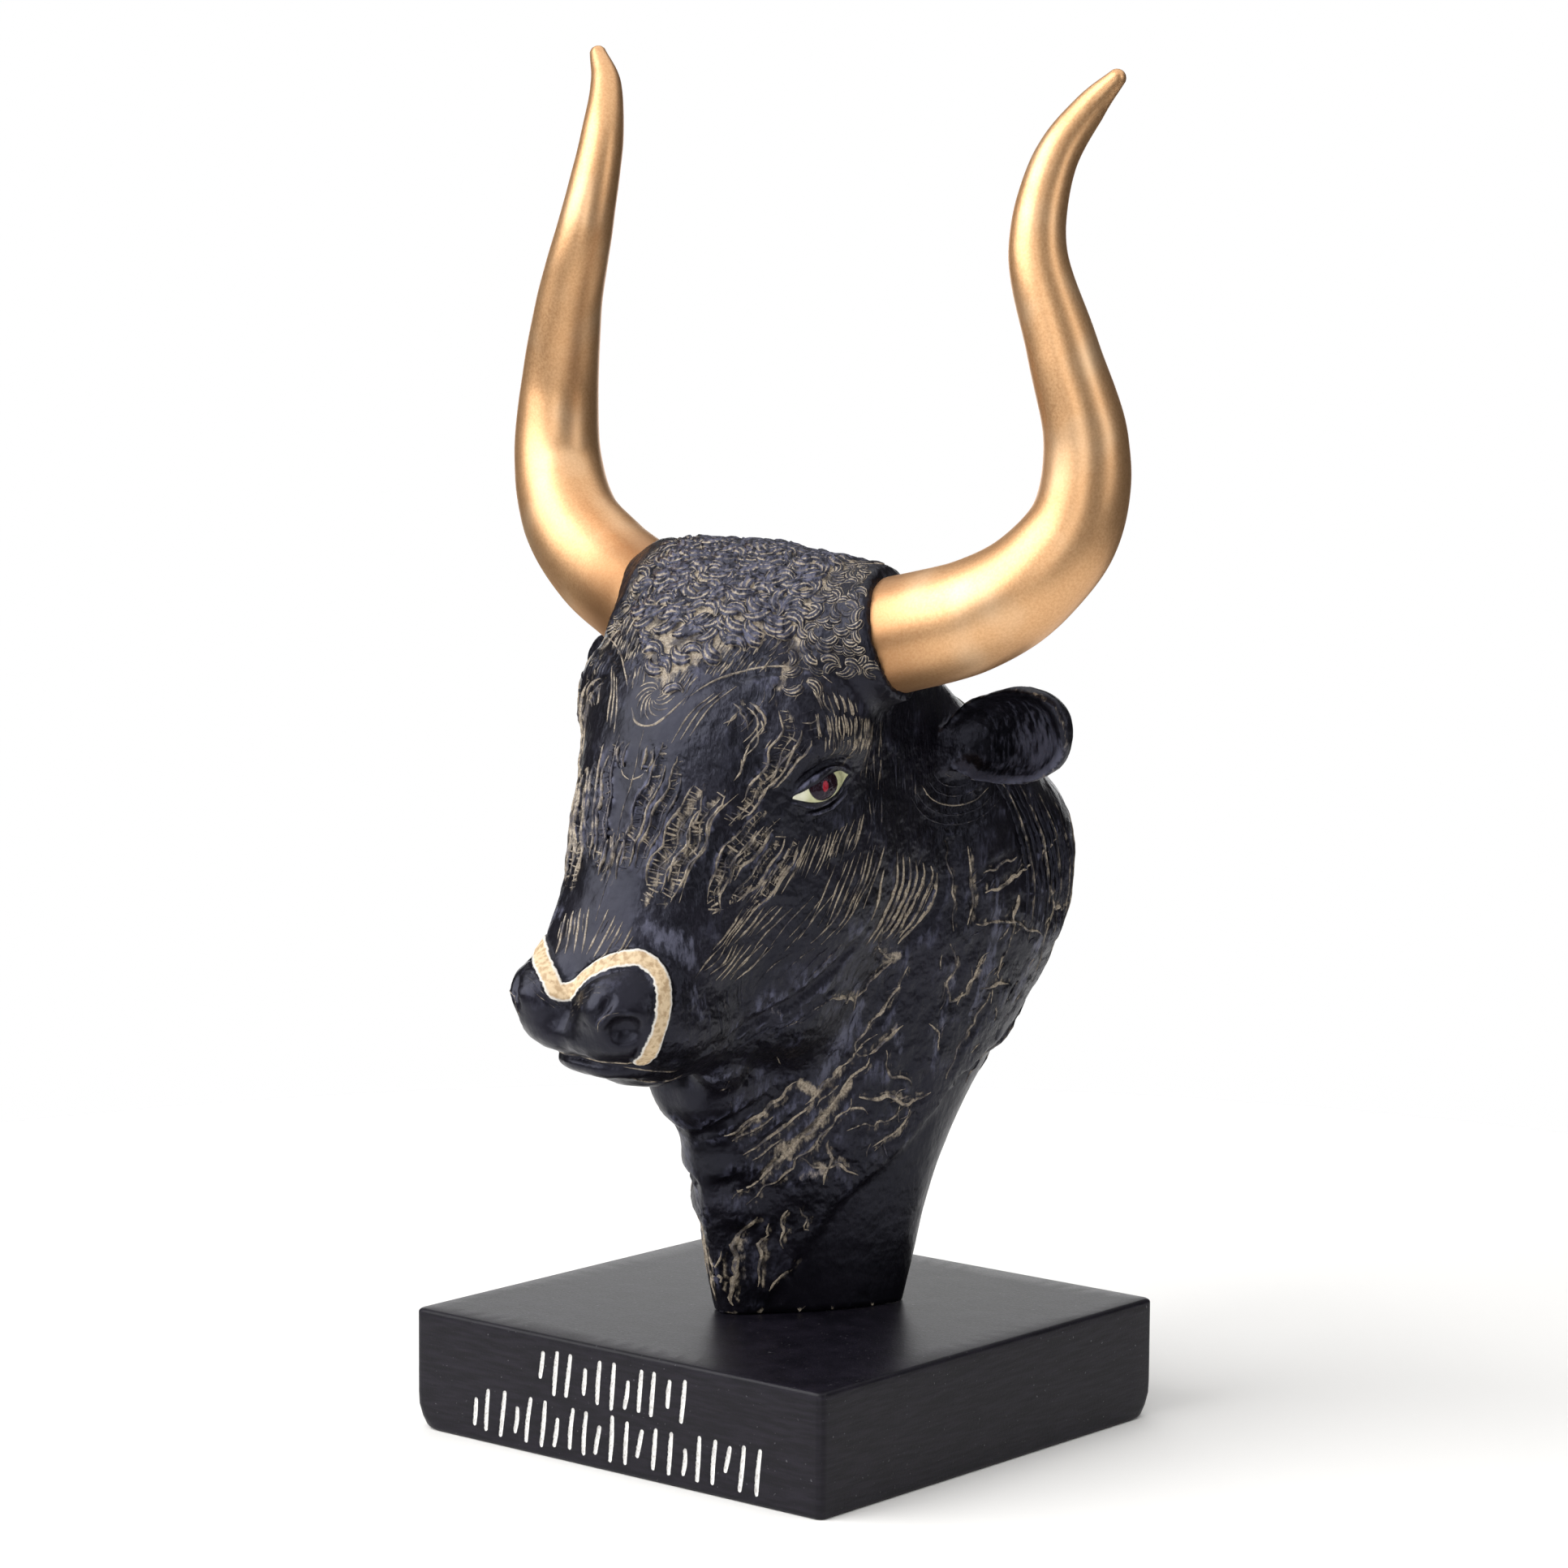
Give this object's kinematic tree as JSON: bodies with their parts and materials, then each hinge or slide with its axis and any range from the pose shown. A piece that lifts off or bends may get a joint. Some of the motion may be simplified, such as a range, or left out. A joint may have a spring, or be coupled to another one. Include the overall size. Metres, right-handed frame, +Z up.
{
  "type": "bull head bust on a plinth",
  "caption": "Desk ornament: black cast bull's head and neck with upswept gold horns, standing on a square black plinth.",
  "frame": {"origin": "centre of the plinth's underside", "axes": "+Z up, -Y the way the bull looks and the plinth's lettered side, +X the bull's left"},
  "size_m": [0.1863, 0.1745, 0.3398],
  "materials": {
    "plinth": "black satin paint, brushed on, with white painted strokes on the front",
    "bust": "cast filled resin, black satin coat rubbed blue-grey on the high places, cream left in the carving",
    "horns": "satin gold metallic paint on cast resin"
  },
  "bodies": {
    "root": {"plinth": "plinth", "bull_head": "bust", "horn_left": "horns", "horn_right": "horns"}
  },
  "joints": []
}
